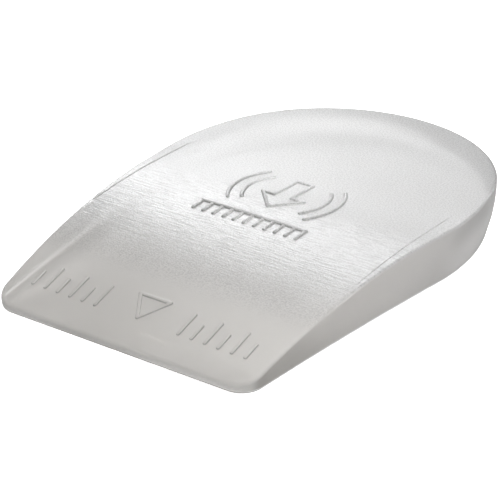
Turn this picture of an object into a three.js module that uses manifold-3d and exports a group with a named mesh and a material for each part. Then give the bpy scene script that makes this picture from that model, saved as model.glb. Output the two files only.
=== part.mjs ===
// A silicone heel lift: one solid, clear wedge that lies in a shoe under the heel.
// Millimetres, +Z up. The thin toe edge faces -Y, the round heel faces +Y,
// and the origin is the middle of the sole.
import * as THREE from "three";
import { mergeVertices } from "three/addons/utils/BufferGeometryUtils.js";
import Module from "manifold-3d";

const { degToRad, smoothstep } = THREE.MathUtils;

// Side profile: a level heel seat, then one convex arc down to the toe edge
const liftLength = 88;
const liftHeight = 10;
const toeThickness = 1.5;
const rampLength = 45.5;

// Plan outline, the right half: toe corner, straight side, shoulder arc, heel arc
const heelRadius = 28.9;
const heelSweep = degToRad(71);
const shoulderRadius = 45;
const shoulderSweep = degToRad(23.5);
const toeCornerRadius = 4.2;

// Wall and rim: the wall curves in toward the sole, and the rim is rounded over
const wallTuck = 1.55;
const rimRadiusToe = 0.4;
const rimRadiusHeel = 0.6;

// Side falls: outside two straight creases the top face slopes down to the rim, and dies out at the heel
const creaseX = 27;
const sideFall = Math.tan(degToRad(3));
const fallFadeStart = 6;
const fallFadeEnd = 20;
const leastCreaseInset = 0.4;

// Raised marks: a heel-to-toe arrow between arcs, a ruled line with ticks, and a row along the toe
const markRise = 0.35;
const markStroke = 0.7;
const arrow = { tipY: -3.6, headY: 1.6, tailY: 8, headHalfWidth: 4.6, shaftHalfWidth: 2 };
const sideArcs = { centreY: 2.2, radii: [7.6, 10], halfSweep: degToRad(38) };
const ruledLine = { y: -7.2, halfLength: 10.6 };
const ruledTicks = { y: -10.1, length: 2.4, pitch: 2.1, count: 11 };
const toePointer = { baseY: -33.2, tipY: -38.6, halfWidth: 3.4 };
const toeBars = { footY: -38.6, firstX: 8.4, pitch: 2.6, lengths: [4.4, 2.8, 4.4, 2.8, 4.4, 2.8] };

// Facets
const stretchSteps = { toeCorner: 7, side: 16, shoulder: 7, heel: 18 };
const wallShares = [0, 0.25, 0.5, 0.75, 1];
const rimAngles = [30, 60, 90].map(degToRad);
const arcSteps = 10;
const endSteps = 5;

// Worked out from the sizes above
const toeY = -liftLength / 2;
const heelY = liftLength / 2;
const seatY = toeY + rampLength;
const rampDrop = liftHeight - toeThickness;
const rampRadius = (rampLength ** 2 + rampDrop ** 2) / (2 * rampDrop);

const wasm = await Module();
wasm.setup();

// Height of the side profile at a place along the part.
function profileHeight(y) {
  const pastSeat = Math.max(0, seatY - y);
  return liftHeight - rampRadius + Math.sqrt(rampRadius ** 2 - pastSeat ** 2);
}

// Height of the top face, with the falls beside its creases.
function topHeight(x, y) {
  const pastCrease = Math.max(0, Math.abs(x) - creaseX);
  return profileHeight(y) - pastCrease * sideFall * (1 - smoothstep(y, fallFadeStart, fallFadeEnd));
}

// Radius of the rounded rim, which grows from the toe to the heel seat.
function rimRadius(y) {
  const share = (profileHeight(y) - toeThickness) / rampDrop;
  return rimRadiusToe + (rimRadiusHeel - rimRadiusToe) * share;
}

// The right half of the plan outline as curves, from the toe edge round to the middle of the heel.
function outlineCurves() {
  const heelCentre = new THREE.Vector2(0, heelY - heelRadius);
  const heelEnd = Math.PI / 2 - heelSweep;
  const sideAngle = heelEnd - shoulderSweep;
  const toHeelEnd = new THREE.Vector2(Math.cos(heelEnd), Math.sin(heelEnd));
  const sideNormal = new THREE.Vector2(Math.cos(sideAngle), Math.sin(sideAngle));
  const shoulderCentre = toHeelEnd.clone().multiplyScalar(heelRadius - shoulderRadius).add(heelCentre);
  const shoulderFoot = sideNormal.clone().multiplyScalar(shoulderRadius).add(shoulderCentre);

  const cornerY = toeY + toeCornerRadius;
  const cornerReach = sideNormal.dot(shoulderFoot) - toeCornerRadius;
  const cornerX = (cornerReach - sideNormal.y * cornerY) / sideNormal.x;
  const cornerCentre = new THREE.Vector2(cornerX, cornerY);
  const cornerTop = sideNormal.clone().multiplyScalar(toeCornerRadius).add(cornerCentre);

  const arc = (centre, radius, from, to) =>
    new THREE.EllipseCurve(centre.x, centre.y, radius, radius, from, to, false);
  return {
    toeCorner: arc(cornerCentre, toeCornerRadius, -Math.PI / 2, sideAngle),
    side: new THREE.LineCurve(cornerTop, shoulderFoot),
    shoulder: arc(shoulderCentre, shoulderRadius, sideAngle, heelEnd),
    heel: arc(heelCentre, heelRadius, heelEnd, Math.PI / 2),
  };
}

// Points of the right half with their outward directions, and the last one on the middle line.
function halfOutline() {
  const points = [];
  for (const [name, curve] of Object.entries(outlineCurves())) {
    const steps = stretchSteps[name];
    for (let step = points.length ? 1 : 0; step <= steps; step++) {
      const place = curve.getPoint(step / steps);
      const heading = curve.getTangent(step / steps);
      points.push({ place, outward: new THREE.Vector2(heading.y, -heading.x) });
    }
  }
  return points;
}

// Inset of the crease from the outline, or a little more than the rim's where there is no crease.
function creaseInset({ place, outward }) {
  const least = rimRadius(place.y) + leastCreaseInset;
  return place.y < fallFadeEnd ? Math.max(least, (place.x - creaseX) / outward.x) : least;
}

// One closed ring round the part: the right half moved in by an inset, then its mirror image.
function ring(outline, insetAt, heightAt) {
  const right = outline.map((point) => {
    const moved = point.place.clone().addScaledVector(point.outward, -insetAt(point));
    return new THREE.Vector3(moved.x, moved.y, heightAt(moved, point.place));
  });
  right.at(-1).x = 0;
  const left = right.slice(0, -1).reverse();
  return [...right, ...left.map((point) => new THREE.Vector3(-point.x, point.y, point.z))];
}

// All rings from the sole up the wall, over the rim and in to the creases.
// The top can be lifted by an extra height.
function bodyRings(lift) {
  const outline = halfOutline();
  const topAt = ({ x, y }) => topHeight(x, y) + lift;
  const wall = wallShares.map((share) =>
    ring(
      outline,
      ({ place }) => (wallTuck * profileHeight(place.y) * (1 - share) ** 2) / liftHeight,
      (_, edge) => share * (topAt(edge) - rimRadius(edge.y)),
    ),
  );
  const rim = rimAngles.map((angle) =>
    ring(
      outline,
      ({ place }) => rimRadius(place.y) * (1 - Math.cos(angle)),
      (moved, edge) => topAt(moved) - rimRadius(edge.y) * (1 - Math.sin(angle)),
    ),
  );
  return [...wall, ...rim, ring(outline, creaseInset, topAt)];
}

// A closed solid through the rings, with each end covered by strips from one side to the other.
function loft(rings) {
  const size = rings[0].length;
  const half = (size - 1) / 2;
  const triangles = [];
  rings.slice(1).forEach((_, level) => {
    for (let i = 0; i < size; i++) {
      const low = level * size + i;
      const lowNext = level * size + ((i + 1) % size);
      triangles.push(low, lowNext, low + size, lowNext, lowNext + size, low + size);
    }
  });
  const last = (rings.length - 1) * size;
  for (let i = 0; i < half; i++) {
    const left = size - 1 - i;
    triangles.push(left, i + 1, i, last + i, last + i + 1, last + left);
    if (i + 1 < half) {
      triangles.push(left, left - 1, i + 1, last + i + 1, last + left - 1, last + left);
    }
  }
  const positions = rings.flat().flatMap((point) => point.toArray());
  return solid(new Float32Array(positions), new Uint32Array(triangles));
}

function solid(vertProperties, triVerts) {
  return new wasm.Manifold(new wasm.Mesh({ numProp: 3, vertProperties, triVerts }));
}

// A flat shape as an upright solid that stands in the body and reaches above it.
function upright(shape) {
  const blank = new THREE.ExtrudeGeometry(shape, {
    depth: liftHeight + 2 * markRise - toeThickness,
    bevelEnabled: false,
    curveSegments: arcSteps,
  });
  blank.translate(0, 0, toeThickness);
  blank.deleteAttribute("normal");
  blank.deleteAttribute("uv");
  const merged = mergeVertices(blank, 1e-4);
  return solid(merged.attributes.position.array, new Uint32Array(merged.index.array));
}

// A straight stroke with round ends.
function strokeShape(x0, y0, x1, y1) {
  const heading = Math.atan2(y1 - y0, x1 - x0);
  const radius = markStroke / 2;
  const shape = new THREE.Shape();
  shape.absarc(x1, y1, radius, heading - Math.PI / 2, heading + Math.PI / 2, false);
  shape.absarc(x0, y0, radius, heading + Math.PI / 2, heading + 1.5 * Math.PI, false);
  return new THREE.Shape(shape.getPoints(endSteps).slice(0, -1));
}

// A closed outline of one stroke's width, drawn inside the given corners.
function outlineShape(rows) {
  const corners = rows.map(([x, y]) => new THREE.Vector2(x, y));
  const shape = new THREE.Shape(corners);
  shape.holes.push(new THREE.Path(insetCorners(corners, markStroke)));
  return shape;
}

// Corners of a counter-clockwise polygon moved in by the same distance from each side.
function insetCorners(corners, distance) {
  return corners.map((corner, i) => {
    const before = corners.at(i - 1);
    const after = corners[(i + 1) % corners.length];
    const incoming = corner.clone().sub(before).normalize();
    const outgoing = after.clone().sub(corner).normalize();
    const inward = new THREE.Vector2(-incoming.y - outgoing.y, incoming.x + outgoing.x);
    const reach = (2 * distance) / inward.lengthSq();
    return corner.clone().addScaledVector(inward, reach);
  });
}

// The arrow that points from the heel to the toe.
function arrowShape() {
  const { tipY, headY, tailY, headHalfWidth, shaftHalfWidth } = arrow;
  const right = [
    [0, tipY],
    [headHalfWidth, headY],
    [shaftHalfWidth, headY],
    [shaftHalfWidth, tailY],
  ];
  const left = right.slice(1).reverse();
  return outlineShape([...right, ...left.map(([x, y]) => [-x, y])]);
}

// A curved stroke beside the arrow, on the right for side 1 and on the left for side -1.
function sideArcShape(radius, side) {
  const { centreY, halfSweep } = sideArcs;
  const middle = side > 0 ? 0 : Math.PI;
  const shape = new THREE.Shape();
  shape.absarc(0, centreY, radius + markStroke / 2, middle - halfSweep, middle + halfSweep, false);
  shape.absarc(0, centreY, radius - markStroke / 2, middle + halfSweep, middle - halfSweep, true);
  return shape;
}

// Every raised mark as a flat shape.
function markShapes() {
  const shapes = [arrowShape()];
  for (const radius of sideArcs.radii) {
    shapes.push(sideArcShape(radius, 1), sideArcShape(radius, -1));
  }
  shapes.push(strokeShape(-ruledLine.halfLength, ruledLine.y, ruledLine.halfLength, ruledLine.y));
  for (let tick = 0; tick < ruledTicks.count; tick++) {
    const x = (tick - (ruledTicks.count - 1) / 2) * ruledTicks.pitch;
    shapes.push(strokeShape(x, ruledTicks.y, x, ruledTicks.y + ruledTicks.length));
  }
  const { baseY, tipY, halfWidth } = toePointer;
  const pointer = [
    [0, tipY],
    [halfWidth, baseY],
    [-halfWidth, baseY],
  ];
  shapes.push(outlineShape(pointer));
  toeBars.lengths.forEach((length, bar) => {
    const x = toeBars.firstX + bar * toeBars.pitch;
    for (const side of [-1, 1]) {
      shapes.push(strokeShape(side * x, toeBars.footY, side * x, toeBars.footY + length));
    }
  });
  return shapes;
}

// The body with its marks, which follow the top face at one height above it.
function markedBody() {
  const plain = loft(bodyRings(0));
  const raised = loft(bodyRings(markRise));
  const marks = markShapes().map((shape) => upright(shape).intersect(raised));
  return marks.reduce((body, mark) => body.add(mark), plain);
}

function geometryOf(body) {
  const { vertProperties, triVerts } = body.getMesh();
  const geometry = new THREE.BufferGeometry();
  geometry.setAttribute("position", new THREE.BufferAttribute(vertProperties, 3));
  geometry.setIndex(new THREE.BufferAttribute(triVerts, 1));
  return geometry.toNonIndexed();
}

const silicone = new THREE.MeshStandardMaterial({ color: 0xd2cfcb, roughness: 0.4, metalness: 0 });

const bodyGeometry = geometryOf(markedBody());
bodyGeometry.computeVertexNormals();
const liftBody = new THREE.Mesh(bodyGeometry, silicone);
liftBody.name = "lift_body";

const heelLift = new THREE.Group();
heelLift.add(liftBody);

export default heelLift;
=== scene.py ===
import math

import bmesh
import bpy
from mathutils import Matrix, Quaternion, Vector


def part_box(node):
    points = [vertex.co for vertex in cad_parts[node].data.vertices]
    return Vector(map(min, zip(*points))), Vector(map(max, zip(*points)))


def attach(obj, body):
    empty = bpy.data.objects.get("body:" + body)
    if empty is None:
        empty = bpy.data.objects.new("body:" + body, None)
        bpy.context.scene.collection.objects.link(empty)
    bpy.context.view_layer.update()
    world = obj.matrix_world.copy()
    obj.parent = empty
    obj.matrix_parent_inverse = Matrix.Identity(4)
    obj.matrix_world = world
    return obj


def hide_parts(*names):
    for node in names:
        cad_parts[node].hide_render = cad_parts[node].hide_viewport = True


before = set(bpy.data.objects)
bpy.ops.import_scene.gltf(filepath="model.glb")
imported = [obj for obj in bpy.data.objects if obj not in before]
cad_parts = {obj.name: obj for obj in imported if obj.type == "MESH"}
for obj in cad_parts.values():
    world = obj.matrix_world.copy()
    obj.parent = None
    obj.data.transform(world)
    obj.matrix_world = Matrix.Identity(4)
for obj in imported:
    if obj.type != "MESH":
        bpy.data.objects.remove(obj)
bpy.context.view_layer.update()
mm = 0.001
slack = 0.001 * mm      # points closer than this count as level
nodeLow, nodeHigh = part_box("lift_body")
print("frame loaded, box", [round(side / mm, 2) for side in nodeHigh - nodeLow], "mm")


# small helpers for edit mode

def clearSelection():
    if bpy.context.mode != "OBJECT":
        bpy.ops.object.mode_set(mode="OBJECT")
    bpy.ops.object.select_all(action="DESELECT")


def editMode(piece, mode="VERT"):
    clearSelection()
    piece.select_set(True)
    bpy.context.view_layer.objects.active = piece
    bpy.ops.object.mode_set(mode="EDIT")
    bpy.ops.mesh.select_mode(type=mode)
    bpy.ops.mesh.select_all(action="DESELECT")


def pick(piece, kind, test):    # kind is verts, edges or faces, test looks at one of them
    mesh = bmesh.from_edit_mesh(piece.data)
    for part in getattr(mesh, kind):
        part.select_set(bool(test(part)))
    mesh.select_flush_mode()
    bmesh.update_edit_mesh(piece.data)


def steadyFaces(piece):     # some operators leave the faces in another order each run
    editMode(piece)
    mesh = bmesh.from_edit_mesh(piece.data)
    count = len(mesh.verts)

    def place(face):
        first, second, third = sorted(vert.index for vert in face.verts)[:3]
        return (first * count + second) * count + third

    mesh.verts.index_update()
    mesh.faces.sort(key=place)
    bmesh.update_edit_mesh(piece.data)
    clearSelection()


def applyModifier(piece, modifier):
    clearSelection()
    piece.select_set(True)
    bpy.context.view_layer.objects.active = piece
    bpy.ops.object.modifier_apply(modifier=modifier.name)


# the silicone wedge, sizes in mm

lift = {
    "toeThickness": 1.5, "rampLength": 45.5,
    "heelRadius": 28.9, "heelSweep": 71, "shoulderRadius": 45, "shoulderSweep": 23.5, "cornerRadius": 4.2,
    "wallTuck": 1.55,               # how far the foot of the wall lies inside the rim
    "rimRadius": 0.45, "footRadius": 0.4,
    "creaseX": 27, "sideFall": 3, "fallFade": (6, 20),      # beside the creases the top slopes to the rim
    "grooveDepth": 0.1, "grooveHalf": 0.15, "grooveEnds": (-19, 13), "grooveFade": 4,
    "grooveCuts": (-0.3, -0.15, 0, 0.15, 0.3),      # close cuts keep the crease crisp
    "cornerSteps": 16, "sideSteps": 48, "shoulderSteps": 18, "heelSteps": 40,
    "wallShares": (0.42, 0.12, 0.12, 0.12, 0.11, 0.11), "rimSteps": 5, "rimBorder": 0.4,
    "rowGap": 1.0, "columnGap": 3.0,
    "mirrorGap": 0.01, "weldGap": 0.0001,       # points closer than these become one
    "smoothAngle": 30,
    "topSkin": 0.02,                # the grained top starts this far under its face
}
marks = {       # raised beads, half round, sizes in mm
    "rise": 0.35,
    "arrow": {"tipY": -3.6, "headY": 1.6, "tailY": 8, "headHalf": 4.6, "shaftHalf": 2},
    "arcs": {"centreY": 2.2, "radii": (7.6, 10), "halfSweep": 38},
    "line": {"y": -7.2, "half": 10.6},
    "ticks": {"y": -10.1, "length": 2.4, "pitch": 2.1, "count": 11},
    "pointer": {"baseY": -33.2, "tipY": -38.6, "half": 3.4},
    "bars": {"footY": -38.6, "firstX": 8.4, "pitch": 2.6, "lengths": (4.4, 2.8, 4.4, 2.8, 4.4, 2.8)},
    "segments": 16, "rings": 11, "arcSteps": 96,
}

toeY = nodeLow.y / mm
heelY = nodeHigh.y / mm
liftHeight = nodeHigh.z / mm - marks["rise"]
seatY = toeY + lift["rampLength"]
rampDrop = liftHeight - lift["toeThickness"]
rampRadius = (lift["rampLength"] ** 2 + rampDrop ** 2) / (2 * rampDrop)


def easeBetween(value, low, high):
    share = min(1, max(0, (value - low) / (high - low)))
    return share * share * (3 - 2 * share)


def profileHeight(y):       # level heel seat, then one arc down to the toe
    pastSeat = max(0, seatY - y)
    return liftHeight - rampRadius + math.sqrt(rampRadius ** 2 - pastSeat ** 2)


def topHeight(x, y):
    fall = math.tan(math.radians(lift["sideFall"])) * (1 - easeBetween(y, *lift["fallFade"]))
    height = profileHeight(y) - fall * max(0, abs(x) - lift["creaseX"])
    start, end = lift["grooveEnds"]
    fade = easeBetween(y, start, start + lift["grooveFade"])
    fade *= 1 - easeBetween(y, end - lift["grooveFade"], end)
    nearness = max(0, 1 - abs(abs(x) - lift["creaseX"]) / lift["grooveHalf"])
    return height - lift["grooveDepth"] * fade * nearness


def extrudePoint(x, y):
    bpy.ops.mesh.extrude_region_move(TRANSFORM_OT_translate={"value": (x * mm, y * mm, 0)})


def spinPoint(centre, sweep, steps):        # counter-clockwise seen from above
    bpy.ops.mesh.spin(steps=steps, angle=-sweep, center=(centre.x * mm, centre.y * mm, 0), axis=(0, 0, 1))


def drawOutline():
    heelCentre = Vector((0, heelY - lift["heelRadius"]))
    heelEnd = math.radians(90 - lift["heelSweep"])
    sideAngle = heelEnd - math.radians(lift["shoulderSweep"])
    sideNormal = Vector((math.cos(sideAngle), math.sin(sideAngle)))
    toHeelEnd = Vector((math.cos(heelEnd), math.sin(heelEnd)))
    shoulderCentre = heelCentre + toHeelEnd * (lift["heelRadius"] - lift["shoulderRadius"])
    shoulderFoot = shoulderCentre + sideNormal * lift["shoulderRadius"]
    cornerY = toeY + lift["cornerRadius"]
    cornerX = (sideNormal.dot(shoulderFoot) - lift["cornerRadius"] - sideNormal.y * cornerY) / sideNormal.x
    cornerCentre = Vector((cornerX, cornerY))
    cornerTop = cornerCentre + sideNormal * lift["cornerRadius"]
    sideStep = (shoulderFoot - cornerTop) / lift["sideSteps"]

    clearSelection()
    bpy.ops.mesh.primitive_plane_add(size=mm, location=(0, toeY * mm, 0))
    wedge = bpy.context.object
    wedge.name = wedge.data.name = "silicone_wedge"
    bpy.ops.object.transform_apply(location=True)
    editMode(wedge)
    bpy.ops.mesh.select_all(action="SELECT")
    bpy.ops.mesh.merge(type="CENTER")       # one point in the middle of the toe edge
    extrudePoint(cornerX, 0)
    spinPoint(cornerCentre, math.pi / 2 + sideAngle, lift["cornerSteps"])
    for step in range(lift["sideSteps"]):
        extrudePoint(sideStep.x, sideStep.y)
    spinPoint(shoulderCentre, math.radians(lift["shoulderSweep"]), lift["shoulderSteps"])
    spinPoint(heelCentre, math.radians(lift["heelSweep"]), lift["heelSteps"])
    clearSelection()
    mirror = wedge.modifiers.new("otherHalf", "MIRROR")
    mirror.merge_threshold = lift["mirrorGap"] * mm
    applyModifier(wedge, mirror)
    return wedge


def pickTopFace(wedge):
    bpy.ops.mesh.select_mode(type="FACE")
    top = max(vert.co.z for vert in bmesh.from_edit_mesh(wedge.data).verts)
    pick(wedge, "faces", lambda face: min(vert.co.z for vert in face.verts) > top - slack)


def cutAt(axis, place):
    bpy.ops.mesh.select_all(action="SELECT")
    bpy.ops.mesh.bisect(plane_co=[place * mm * part for part in axis], plane_no=axis, threshold=slack)


def cutRows(gap, axis, low, high):      # evenly spaced cuts through what is visible
    count = max(1, round((high - low) / gap))
    for row in range(1, count):
        cutAt(axis, low + (high - low) * row / count)


def raiseBlock(wedge):
    editMode(wedge)
    bpy.ops.mesh.select_all(action="SELECT")
    bpy.ops.mesh.edge_face_add()
    wallTop = liftHeight - lift["rimRadius"]
    for share in lift["wallShares"]:
        bpy.ops.mesh.extrude_region_move(TRANSFORM_OT_translate={"value": (0, 0, wallTop * share * mm)})
    bpy.ops.mesh.select_all(action="SELECT")
    bpy.ops.mesh.normals_make_consistent(inside=False)
    pickTopFace(wedge)
    turn = math.pi / 2 / lift["rimSteps"]
    for step in range(lift["rimSteps"]):        # the rounded rim, one inset after another
        inward = math.cos(step * turn) - math.cos((step + 1) * turn)
        upward = math.sin((step + 1) * turn) - math.sin(step * turn)
        bpy.ops.mesh.inset(thickness=inward * lift["rimRadius"] * mm, depth=upward * lift["rimRadius"] * mm)
    bpy.ops.mesh.inset(thickness=lift["rimBorder"] * mm, depth=0)

    bpy.ops.mesh.hide(unselected=True)          # only the middle of the top is cut into rows and columns
    cutRows(lift["rowGap"], (0, 1, 0), toeY, heelY)
    cutRows(lift["columnGap"], (1, 0, 0), -lift["creaseX"], lift["creaseX"])
    for side in (-1, 1):
        for offset in lift["grooveCuts"]:
            cutAt((1, 0, 0), side * (lift["creaseX"] + offset))
    bpy.ops.mesh.reveal(select=False)
    steadyFaces(wedge)
    print("block raised,", len(wedge.data.polygons), "faces")


def shapeWedge(wedge):      # pulls the block down to the ramp and tucks the wall in toward the sole
    wallTop = (liftHeight - lift["rimRadius"]) * mm
    normals = [vert.normal.copy() for vert in wedge.data.vertices]
    for vert, normal in zip(wedge.data.vertices, normals):
        x, y = vert.co.x / mm, vert.co.y / mm
        if vert.co.z > wallTop + slack:
            vert.co.z += (topHeight(x, y) - liftHeight) * mm
            continue
        share = vert.co.z / wallTop
        tuck = lift["wallTuck"] * profileHeight(y) / liftHeight * (1 - share) ** 2
        outward = Vector((normal.x, normal.y, 0)).normalized()
        vert.co.z = share * (topHeight(x, y) - lift["rimRadius"]) * mm
        vert.co -= outward * tuck * mm


def roundFoot(wedge):
    editMode(wedge, "EDGE")
    pick(wedge, "edges", lambda edge: max(vert.co.z for vert in edge.verts) < slack)
    bpy.ops.mesh.bevel(offset=lift["footRadius"] * mm, segments=lift["rimSteps"], affect="EDGES")
    bpy.ops.mesh.select_mode(type="FACE")
    pick(wedge, "faces", lambda face: max(vert.co.z for vert in face.verts) < slack)
    bpy.ops.mesh.hide(unselected=True)
    cutRows(lift["columnGap"], (0, 1, 0), toeY, heelY)
    cutRows(lift["columnGap"], (1, 0, 0), -lift["creaseX"], lift["creaseX"])
    bpy.ops.mesh.reveal(select=False)
    steadyFaces(wedge)


# raised marks, laid out flat first and then lifted onto the top face

def addBead(x0, y0, x1, y1):        # a ball pulled out into a bead from one point to the other
    start, end = Vector((x0, y0, 0)) * mm, Vector((x1, y1, 0)) * mm
    middle, reach = (start + end) / 2, (end - start) / 2
    turn = math.atan2(reach.y, reach.x)
    clearSelection()
    bpy.ops.mesh.primitive_uv_sphere_add(
        segments=marks["segments"], ring_count=marks["rings"], radius=marks["rise"] * mm,
        location=middle, rotation=(0, math.pi / 2, turn))
    bead = bpy.context.object
    bpy.ops.object.transform_apply(location=True, rotation=True)
    if reach.length > 0:
        for side in (1, -1):
            editMode(bead)
            pick(bead, "verts", lambda vert: (vert.co - middle).dot(reach) * side > 0)
            bpy.ops.transform.translate(value=reach * side)
        bpy.ops.object.mode_set(mode="OBJECT")
    return bead


def addArcPair(radius):     # a ring with only its left and right stretches kept
    centre = Vector((0, marks["arcs"]["centreY"] * mm, 0))
    clearSelection()
    bpy.ops.mesh.primitive_torus_add(
        major_radius=radius * mm, minor_radius=marks["rise"] * mm, location=centre,
        major_segments=marks["arcSteps"], minor_segments=marks["segments"])
    ring = bpy.context.object
    bpy.ops.object.transform_apply(location=True)
    halfSweep = math.radians(marks["arcs"]["halfSweep"])
    editMode(ring, "FACE")

    def outside(face):
        away = face.calc_center_median() - centre
        return math.atan2(abs(away.y), abs(away.x)) > halfSweep

    pick(ring, "faces", outside)
    bpy.ops.mesh.delete(type="FACE")
    bpy.ops.mesh.select_all(action="SELECT")
    bpy.ops.mesh.fill_holes(sides=0)
    bpy.ops.object.mode_set(mode="OBJECT")
    return ring


def addClosedLine(corners):
    return [addBead(*corners[spot - 1], *corner) for spot, corner in enumerate(corners)]


def modelMarks():
    arrow, line, ticks = marks["arrow"], marks["line"], marks["ticks"]
    pointer, bars = marks["pointer"], marks["bars"]
    inset = marks["rise"]
    head, shaft = arrow["headHalf"] - inset, arrow["shaftHalf"] - inset
    beads = addClosedLine([
        (0, arrow["tipY"] + inset), (head, arrow["headY"] - inset), (shaft, arrow["headY"] - inset),
        (shaft, arrow["tailY"] - inset), (-shaft, arrow["tailY"] - inset),
        (-shaft, arrow["headY"] - inset), (-head, arrow["headY"] - inset)])
    sweep = math.radians(marks["arcs"]["halfSweep"])
    for radius in marks["arcs"]["radii"]:
        beads.append(addArcPair(radius))
        for side in (-1, 1):
            for end in (-1, 1):
                x = side * radius * math.cos(sweep)
                y = marks["arcs"]["centreY"] + end * radius * math.sin(sweep)
                beads.append(addBead(x, y, x, y))
    beads.append(addBead(-line["half"], line["y"], line["half"], line["y"]))
    for tick in range(ticks["count"]):
        x = (tick - (ticks["count"] - 1) / 2) * ticks["pitch"]
        beads.append(addBead(x, ticks["y"], x, ticks["y"] + ticks["length"]))
    half = pointer["half"] - inset
    beads += addClosedLine([
        (0, pointer["tipY"] + inset), (half, pointer["baseY"] - inset), (-half, pointer["baseY"] - inset)])
    for bar, length in enumerate(bars["lengths"]):
        for side in (-1, 1):
            x = side * (bars["firstX"] + bar * bars["pitch"])
            beads.append(addBead(x, bars["footY"], x, bars["footY"] + length))
    clearSelection()
    for bead in beads:
        bead.select_set(True)
    bpy.context.view_layer.objects.active = beads[0]
    bpy.ops.object.join()
    raised = bpy.context.object
    raised.name = "raised_marks"
    steadyFaces(raised)
    for vert in raised.data.vertices:
        vert.co.z += topHeight(vert.co.x / mm, vert.co.y / mm) * mm
    print("marks laid on the top,", len(beads), "beads")
    return raised


def fuseMarks(wedge, raised):
    union = wedge.modifiers.new("fuseMarks", "BOOLEAN")
    union.operation = "UNION"
    union.solver = "EXACT"
    union.use_self = True
    union.object = raised
    union.show_viewport = False         # worked out once, when it is applied
    applyModifier(wedge, union)
    bpy.data.objects.remove(raised, do_unlink=True)
    editMode(wedge)
    bpy.ops.mesh.select_all(action="SELECT")
    bpy.ops.mesh.remove_doubles(threshold=lift["weldGap"] * mm)
    bpy.ops.mesh.normals_make_consistent(inside=False)
    clearSelection()
    wedge.select_set(True)
    bpy.context.view_layer.objects.active = wedge
    bpy.ops.object.shade_smooth_by_angle(angle=math.radians(lift["smoothAngle"]))
    clearSelection()


def paintSurface(wedge):        # where the grained top ends, and how far up a mark each point lies
    for name in ("topShare", "markRise"):
        wedge.data.attributes.new(name, "FLOAT", "POINT")
    top, rise = wedge.data.attributes["topShare"].data, wedge.data.attributes["markRise"].data
    for spot, vert in enumerate(wedge.data.vertices):
        under = topHeight(vert.co.x / mm, vert.co.y / mm) - vert.co.z / mm
        top[spot].value = 1 - easeBetween(under, lift["topSkin"], lift["rimRadius"])
        rise[spot].value = easeBetween(-under, 0, marks["rise"])


def modelWedge():
    wedge = drawOutline()
    raiseBlock(wedge)
    shapeWedge(wedge)
    roundFoot(wedge)
    fuseMarks(wedge, modelMarks())
    paintSurface(wedge)
    print("wedge finished,", len(wedge.data.polygons), "faces")
    return wedge


# milky clear silicone, its colours holding painted light and shade, in mm: fades run along y, reaches run
# up from the sole

silicone = {
    "ior": 1.41,
    # painted light and shade: the seat is darker and the toe and heel lighter, set against how the back
    # strip lamp falls on them
    "seat": (0.49, 0.49, 0.49), "front": (0.7, 0.672, 0.63), "colorFade": (-34, -10),
    "back": (0.68, 0.685, 0.69), "backFade": (14, 38),
    "frostFade": (-33, -25),        # the frosted finish stops short of the clear toe
    # painted shade: the walls are darker than the top, darkest at the sides toward the toe
    "heelWall": (0.44, 0.425, 0.41), "sideWall": (0.32, 0.303, 0.28), "wallFade": (-42, 20),
    "rearWall": {       # painted shade: the heel's wall darkens toward the rim, with painted light lighter toward the sole
        "low": (0.98, 0.96, 0.94), "high": (0.48, 0.47, 0.46), "reach": (3.5, 9), "fade": (3, 17),
    },
    # painted light: the toe face is lighter than the side walls
    "toeWall": (0.6, 0.585, 0.555), "toeFade": (-42.5, -41),
    # painted highlight: a white band along the foot of the wall
    "foot": (1.0, 1.0, 1.0), "footHighlightReach": {"low": (0.01, 0.04), "high": (0.7, 0.4)},
    "roughness": {
        "seat": 0.285, "front": 0.28, "heelWall": 0.35, "sideWall": 0.06, "toeWall": 0.3, "sole": 0.04,
    },
    "clearFade": (-38, -29), "roughFade": (-26, -8), "soleReach": (0.05, 0.5),
    "grain": {
        "scale": 3500, "detail": 2, "roughness": 0.6, "edges": (0.3, 0.7),
        "shade": 0.6, "height": 0.06, "strength": 0.2,
    },
    "streaks": {        # fine lines across the start of the ramp
        "scale": 2400, "detail": 3, "stretch": 0.13, "edges": (0.4, 0.65),
        "shade": 0.68, "height": 0.1, "strength": 0.15, "front": (-30, -12), "back": (4, -4),
    },
    "flankShade": {          # painted shade: the sides of the marks are darker, most of all at the toe
        "low": (0.0, 0.15), "high": (0.9, 0.5), "shade": 0.45, "seatFade": (0.6, 0.2), "reach": (0.45, 1),
    },
}


def inMetres(lengths):
    return [length * mm for length in lengths]


def addNode(tree, kind, **values):
    node = tree.nodes.new("ShaderNode" + kind)
    for name, value in values.items():
        node.inputs[name].default_value = value
    return node


def painted(tree, name):        # an attribute that paintSurface wrote
    node = addNode(tree, "Attribute")
    node.attribute_name = name
    return node.outputs["Fac"]


def mapped(tree, source, low, high, to=(0, 1)):        # eases from one value to another
    node = addNode(tree, "MapRange")
    node.interpolation_type = "SMOOTHSTEP"
    for name, value in (("From Min", low), ("From Max", high), ("To Min", to[0]), ("To Max", to[1])):
        node.inputs[name].default_value = value
    tree.links.new(source, node.inputs["Value"])
    return node.outputs["Result"]


def product(tree, first, second):
    node = addNode(tree, "Math")
    node.operation = "MULTIPLY"
    tree.links.new(first, node.inputs[0])
    tree.links.new(second, node.inputs[1])
    return node.outputs["Value"]


def between(tree, share, first, second):        # each end is a plain number or another node's output
    node = addNode(tree, "Mix")
    tree.links.new(share, node.inputs["Factor"])
    for socket, value in ((node.inputs["A"], first), (node.inputs["B"], second)):
        if isinstance(value, float):
            socket.default_value = value
        else:
            tree.links.new(value, socket)
    return node.outputs["Result"]


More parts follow.
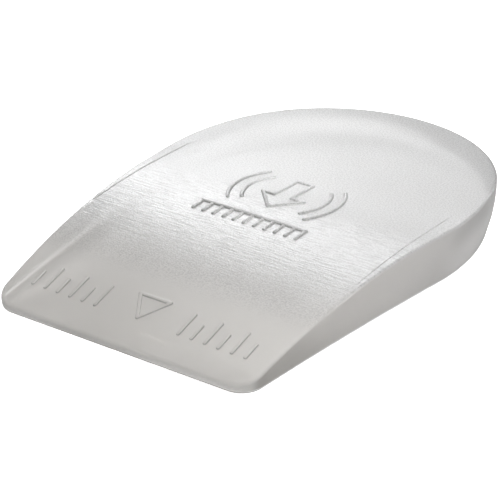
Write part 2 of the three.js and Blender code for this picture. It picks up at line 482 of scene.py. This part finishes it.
def blended(tree, share, first, second):        # each colour is a plain one or another node's output
    node = addNode(tree, "Mix")
    node.data_type = "RGBA"
    firstColor, secondColor = node.inputs[6:8]      # sockets for numbers and vectors come before them
    tree.links.new(share, node.inputs["Factor"])
    for socket, color in ((firstColor, first), (secondColor, second)):
        if isinstance(color, tuple):
            socket.default_value = (*color, 1)
        else:
            tree.links.new(color, socket)
    return node.outputs[2]


def tinted(tree, color, shade):         # a colour made darker by a share
    node = addNode(tree, "VectorMath")
    node.operation = "SCALE"
    tree.links.new(color, node.inputs["Vector"])
    tree.links.new(shade, node.inputs["Scale"])
    return node.outputs["Vector"]


def grainPattern(tree, places):
    grain = silicone["grain"]
    noise = addNode(
        tree, "TexNoise", Scale=grain["scale"], Detail=grain["detail"], Roughness=grain["roughness"])
    tree.links.new(places, noise.inputs["Vector"])
    return mapped(tree, noise.outputs["Fac"], *grain["edges"])


def streakPattern(tree, places, along, onTop):
    streaks = silicone["streaks"]
    stretch = addNode(tree, "Mapping", Scale=(streaks["stretch"], 1, streaks["stretch"]))
    tree.links.new(places, stretch.inputs["Vector"])
    noise = addNode(tree, "TexNoise", Scale=streaks["scale"], Detail=streaks["detail"])
    tree.links.new(stretch.outputs["Vector"], noise.inputs["Vector"])
    fromFront = mapped(tree, along, *inMetres(streaks["front"]))
    fromBack = mapped(tree, along, *inMetres(streaks["back"]))
    lines = mapped(tree, noise.outputs["Fac"], *streaks["edges"])
    for share in (fromFront, fromBack, onTop):
        lines = product(tree, lines, share)
    return lines


def topColor(tree, along, grained, lines):
    flankShade, rise = silicone["flankShade"], painted(tree, "markRise")
    onSeat = mapped(tree, along, *inMetres(silicone["colorFade"]))
    # painted shade on the sides of the raised marks
    flankShadeShare = mapped(tree, rise, *flankShade["low"])
    flankShadeShare = product(tree, flankShadeShare, mapped(tree, rise, *flankShade["high"]))
    flankShadeShare = product(tree, flankShadeShare, mapped(tree, onSeat, *flankShade["seatFade"], flankShade["reach"]))
    shade = mapped(tree, grained, 0, 1, (1, silicone["grain"]["shade"]))
    shade = product(tree, shade, mapped(tree, lines, 0, 1, (1, silicone["streaks"]["shade"])))
    shade = product(tree, shade, mapped(tree, flankShadeShare, 0, 1, (1, flankShade["shade"])))
    # painted light and shade in the top's tone: darker seat, lighter toe and heel
    color = blended(tree, onSeat, silicone["front"], silicone["seat"])
    onBack = mapped(tree, along, *inMetres(silicone["backFade"]))
    return tinted(tree, blended(tree, onBack, color, silicone["back"]), shade)


def wallColor(tree, along, up, pastToe):
    rear, footHighlightReach = silicone["rearWall"], silicone["footHighlightReach"]
    # painted shade on the walls, darker at the sides toward the toe
    onHeel = mapped(tree, along, *inMetres(silicone["wallFade"]))
    color = blended(tree, onHeel, silicone["sideWall"], silicone["heelWall"])
    # painted shade under the heel's rim, painted light lower down toward the sole
    rearColor = blended(tree, mapped(tree, up, *inMetres(rear["reach"])), rear["low"], rear["high"])
    color = blended(tree, mapped(tree, along, *inMetres(rear["fade"])), color, rearColor)
    # painted highlight along the foot of the wall
    footHighlight = mapped(tree, up, *inMetres(footHighlightReach["low"]))
    footHighlight = product(tree, footHighlight, mapped(tree, up, *inMetres(footHighlightReach["high"])))
    color = blended(tree, footHighlight, color, silicone["foot"])
    # painted light on the toe face
    return blended(tree, pastToe, silicone["toeWall"], color)


def surfaceRoughness(tree, along, up, onTop, pastToe):
    roughness = silicone["roughness"]
    topEnds = roughness["front"], roughness["seat"]
    topRough = mapped(tree, along, *inMetres(silicone["clearFade"]), topEnds)
    wallEnds = roughness["sideWall"], roughness["heelWall"]
    wallRough = mapped(tree, along, *inMetres(silicone["roughFade"]), wallEnds)
    inside = addNode(tree, "NewGeometry").outputs["Backfacing"]
    wallRough = between(tree, inside, roughness["heelWall"], wallRough)     # clear only as seen from inside
    wallRough = between(tree, pastToe, roughness["toeWall"], wallRough)
    onWall = mapped(tree, up, *inMetres(silicone["soleReach"]))
    wallRough = between(tree, onWall, roughness["sole"], wallRough)
    return between(tree, onTop, wallRough, topRough)


def surfaceBump(tree, specks, frosted, lines):
    grain, streaks = silicone["grain"], silicone["streaks"]
    lineBump = addNode(tree, "Bump", Strength=streaks["strength"], Distance=streaks["height"] * mm)
    tree.links.new(lines, lineBump.inputs["Height"])
    grainBump = addNode(tree, "Bump", Distance=grain["height"] * mm)
    tree.links.new(mapped(tree, frosted, 0, 1, (0, grain["strength"])), grainBump.inputs["Strength"])
    tree.links.new(specks, grainBump.inputs["Height"])
    tree.links.new(lineBump.outputs["Normal"], grainBump.inputs["Normal"])
    return grainBump.outputs["Normal"]


def siliconeMaterial():
    material = bpy.data.materials.new("milky_silicone")
    material.use_nodes = True
    tree = material.node_tree
    shader = tree.nodes["Principled BSDF"]
    shader.inputs["IOR"].default_value = silicone["ior"]
    shader.inputs["Transmission Weight"].default_value = 1

    places = addNode(tree, "TexCoord").outputs["Object"]
    split = addNode(tree, "SeparateXYZ")
    tree.links.new(places, split.inputs["Vector"])
    along, up = split.outputs["Y"], split.outputs["Z"]
    onTop = painted(tree, "topShare")
    pastToe = mapped(tree, along, *inMetres(silicone["toeFade"]))
    frosted = product(tree, onTop, mapped(tree, along, *inMetres(silicone["frostFade"])))
    specks = grainPattern(tree, places)
    lines = streakPattern(tree, places, along, onTop)

    wall = wallColor(tree, along, up, pastToe)
    top = topColor(tree, along, product(tree, specks, frosted), lines)
    tree.links.new(blended(tree, onTop, wall, top), shader.inputs["Base Color"])
    tree.links.new(surfaceRoughness(tree, along, up, onTop, pastToe), shader.inputs["Roughness"])
    tree.links.new(surfaceBump(tree, specks, frosted, lines), shader.inputs["Normal"])
    return material


# floor, light and camera

studio = {
    "floorSize": 3.0, "floorDrop": 0.02 * mm, "floorRoughness": 0.9,
    "floorColor": (0.95, 0.95, 0.95, 1), "floorGlow": 0.45,     # as the camera sees it
    "throughColor": (0.1, 0.1, 0.1, 1), "throughGlow": 0.72,    # as it shows through the part
    "bounceColor": (0.38, 0.38, 0.38, 1), "bounceGlow": 0.07,   # as it lights the part
    "skyLow": (0.25, 0.25, 0.25), "skyHigh": (1.5, 1.5, 1.5), "skyReach": 0.7,
    "skyThrough": (0.44, 0.44, 0.44),
    "lightSteps": 32,       # clear silicone leads light along inside
}
lights = {      # azimuth, elevation and roll in degrees seen from the part, distance and size in metres
    "backStrip": {
        "azimuth": 218.5, "elevation": 32.5, "roll": -44, "distance": 1.0, "size": (0.74, 0.07),
        "radiance": 36, "color": (0.99, 1.0, 1.01),
    },
    "sideFill": {
        "azimuth": 70, "elevation": 25, "roll": 0, "distance": 1.0, "size": (0.8, 0.8),
        "radiance": 3.0, "color": (1.0, 1.0, 1.0),
    },
}
view = {        # fitted to the photograph's outline of the part, lengths in mm
    "azimuth": 36.282, "elevation": 25.798, "distance": 383.95, "aim": (-2.921, -4.312, 1.385),
    "lens": 163.185, "sensor": 36, "nearest": 10,
}


def directionFrom(azimuth, elevation):
    turn, tilt = math.radians(azimuth), math.radians(elevation)
    return Vector((math.sin(turn) * math.cos(tilt), -math.cos(turn) * math.cos(tilt), math.sin(tilt)))


def floorShader(tree, color, glow):
    shader = addNode(tree, "BsdfPrincipled", Roughness=studio["floorRoughness"])
    shader.inputs["Base Color"].default_value = color
    shader.inputs["Emission Color"].default_value = (1, 1, 1, 1)
    shader.inputs["Emission Strength"].default_value = glow
    return shader.outputs["BSDF"]


def makeFloor():
    clearSelection()
    bpy.ops.mesh.primitive_plane_add(size=studio["floorSize"], location=(0, 0, -studio["floorDrop"]))
    floor = bpy.context.object
    floor.name = "studio_floor"
    material = bpy.data.materials.new("pale_floor")
    material.use_nodes = True
    tree = material.node_tree
    tree.nodes.remove(tree.nodes["Principled BSDF"])
    path = addNode(tree, "LightPath").outputs
    surface = floorShader(tree, studio["bounceColor"], studio["bounceGlow"])
    for ray, look in (("Is Transmission Ray", "through"), ("Is Camera Ray", "floor")):
        mixed = addNode(tree, "MixShader")
        tree.links.new(path[ray], mixed.inputs["Fac"])
        tree.links.new(surface, mixed.inputs[1])
        tree.links.new(floorShader(tree, studio[look + "Color"], studio[look + "Glow"]), mixed.inputs[2])
        surface = mixed.outputs["Shader"]
    tree.links.new(surface, tree.nodes["Material Output"].inputs["Surface"])
    floor.data.materials.append(material)


def makeSky():
    world = bpy.data.worlds.new("studio")
    bpy.context.scene.world = world
    world.use_nodes = True
    tree = world.node_tree
    split = addNode(tree, "SeparateXYZ")
    tree.links.new(addNode(tree, "TexCoord").outputs["Generated"], split.inputs["Vector"])
    height = mapped(tree, split.outputs["Z"], 0, studio["skyReach"])
    color = blended(tree, height, studio["skyLow"], studio["skyHigh"])
    through = addNode(tree, "LightPath").outputs["Is Transmission Ray"]
    color = blended(tree, through, color, studio["skyThrough"])
    tree.links.new(color, tree.nodes["Background"].inputs["Color"])


def makeLights():
    for name, row in lights.items():
        toward = directionFrom(row["azimuth"], row["elevation"])
        width, height = row["size"]
        clearSelection()
        bpy.ops.object.light_add(type="AREA", location=toward * row["distance"])
        lamp = bpy.context.object
        lamp.name = name
        lamp.rotation_mode = "QUATERNION"
        roll = Quaternion((0, 0, 1), math.radians(row["roll"]))
        lamp.rotation_quaternion = toward.to_track_quat("Z", "Y") @ roll
        lamp.data.shape = "RECTANGLE"
        lamp.data.size, lamp.data.size_y = width, height
        lamp.data.energy = row["radiance"] * width * height * math.pi
        lamp.data.color = row["color"]
        lamp.visible_transmission = False       # no bright spot through the wall


def makeCamera():
    toward = directionFrom(view["azimuth"], view["elevation"])
    clearSelection()
    bpy.ops.object.camera_add(location=Vector(view["aim"]) * mm + toward * view["distance"] * mm)
    camera = bpy.context.object
    camera.rotation_mode = "QUATERNION"
    camera.rotation_quaternion = toward.to_track_quat("Z", "Y")
    camera.data.lens = view["lens"]
    camera.data.sensor_width = view["sensor"]
    camera.data.clip_start = view["nearest"] * mm
    bpy.context.scene.camera = camera


wedge = modelWedge()
wedge.data.materials.clear()
wedge.data.materials.append(siliconeMaterial())
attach(wedge, "root")
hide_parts("lift_body")

makeFloor()
makeSky()
makeLights()
makeCamera()
bpy.context.scene.view_settings.view_transform = "Standard"
for kind in ("max_bounces", "transmission_bounces", "glossy_bounces"):
    setattr(bpy.context.scene.cycles, kind, studio["lightSteps"])

print("scene ready")
